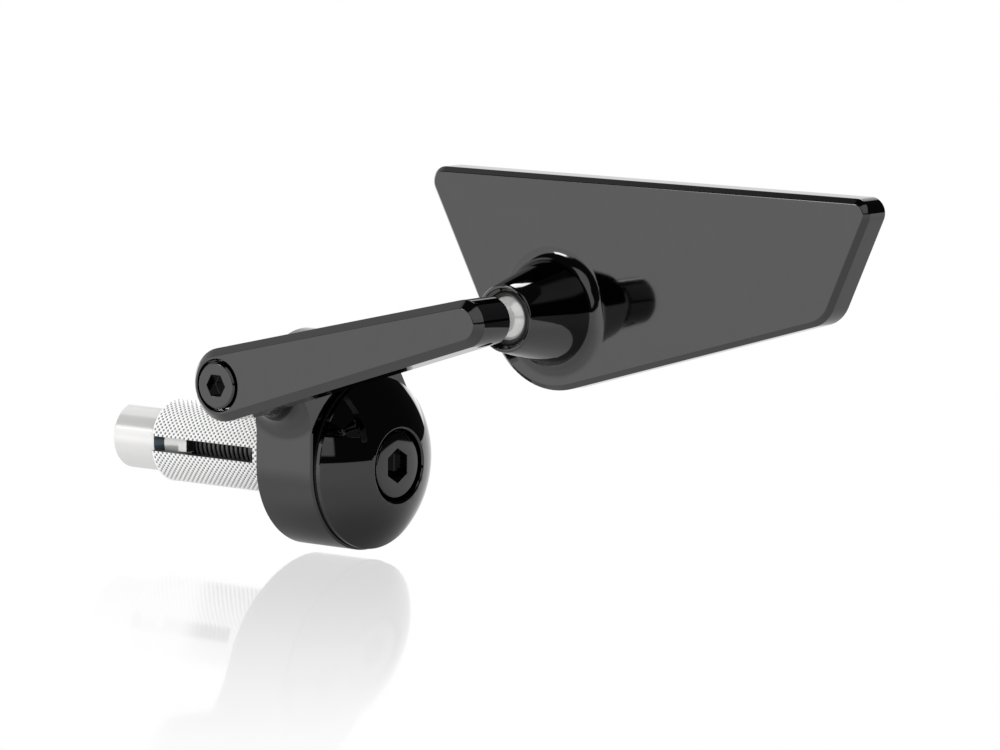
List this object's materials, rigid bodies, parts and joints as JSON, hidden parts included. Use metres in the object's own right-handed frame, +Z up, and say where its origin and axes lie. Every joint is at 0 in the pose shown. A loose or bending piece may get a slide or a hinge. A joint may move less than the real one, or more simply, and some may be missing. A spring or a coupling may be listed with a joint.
{
  "type": "motorcycle bar end mirror",
  "caption": "Motorcycle bar end mirror: an angular mirror on a ball joint and a flat swinging arm, held by a round body whose slotted sleeve is wedged inside the handlebar.",
  "frame": {"origin": "on the handlebar's axis, at the face of the clamp body that butts against the bar's end", "axes": "+X along the handlebar, pointing outboard; +Y towards the rider, the way the glass faces; +Z up. Left-hand side of the motorcycle."},
  "size_m": [0.1961, 0.0577, 0.0819],
  "materials": {
    "black_satin": "black anodised, smooth satin",
    "black_gloss": "black anodised, polished",
    "black_steel": "black oxide",
    "plain_steel": "machined",
    "sleeve_metal": "bright, diamond knurled",
    "nut_metal": "turned and polished",
    "stud_chrome": "polished",
    "bronze": "sintered",
    "black_plastic": "smooth low-friction plastic",
    "white_plastic": "moulded",
    "gasket_rubber": "matte",
    "pad_foam": "foam tape",
    "mirror_glass": "silvered glass with a ground bevel"
  },
  "bodies": {
    "sleeve": {"expansion_sleeve": "sleeve_metal"},
    "nut": {"cone_nut": "nut_metal", "nut_key": "white_plastic"},
    "bolt": {"expander_bolt": "black_steel"},
    "clamp": {"clamp_body": "black_satin", "end_cap": "black_gloss", "cap_gasket": "gasket_rubber", "bolt_washer": "black_steel", "pivot_screw": "black_steel", "pivot_insert": "plain_steel", "pivot_washer": "black_plastic"},
    "arm": {"arm": "black_satin", "pivot_bush": "bronze", "pivot_spring_washer": "plain_steel", "ball_stud": "stud_chrome", "stud_lock_screw": "black_steel"},
    "front_liner": {"front_ball_liner": "black_plastic"},
    "rear_liner": {"rear_ball_liner": "black_plastic"},
    "head": {"mirror_housing": "black_satin", "thrust_cup": "black_plastic", "disc_springs": "plain_steel", "socket_plug": "plain_steel", "adhesive_pad": "pad_foam", "mirror_glass": "mirror_glass"}
  },
  "joints": [
    {"name": "clamp_swivel", "type": "hinge", "parent": "sleeve", "child": "clamp", "pos_m": [0, 0, 0], "axis": [1, 0, 0], "continuous": true},
    {"name": "bolt_turn", "type": "hinge", "parent": "sleeve", "child": "bolt", "pos_m": [0, 0, 0], "axis": [1, 0, 0], "range_deg": [0, 720]},
    {"name": "nut_slide", "type": "slide", "parent": "sleeve", "child": "nut", "axis": [-1, 0, 0], "range_m": [0, 0.0025]},
    {"name": "arm_swing", "type": "hinge", "parent": "clamp", "child": "arm", "pos_m": [0.0075, -0.034, 0.019], "axis": [0, -1, 0], "range_deg": [-120, 110]},
    {"name": "head_roll", "type": "hinge", "parent": "arm", "child": "front_liner", "pos_m": [0.07046, -0.02, 0.03634], "axis": [0, -1, 0], "range_deg": [-90, 90]},
    {"name": "head_pan", "type": "hinge", "parent": "front_liner", "child": "rear_liner", "pos_m": [0.07046, -0.02, 0.03634], "axis": [0, 0, 1], "range_deg": [-15, 15]},
    {"name": "head_tilt", "type": "hinge", "parent": "rear_liner", "child": "head", "pos_m": [0.07046, -0.02, 0.03634], "axis": [1, 0, 0], "range_deg": [-15, 15]}
  ],
  "couplings": [
    {"joint": "bolt_turn", "follows": "nut_slide", "rad_per_m": 5026.5}
  ]
}
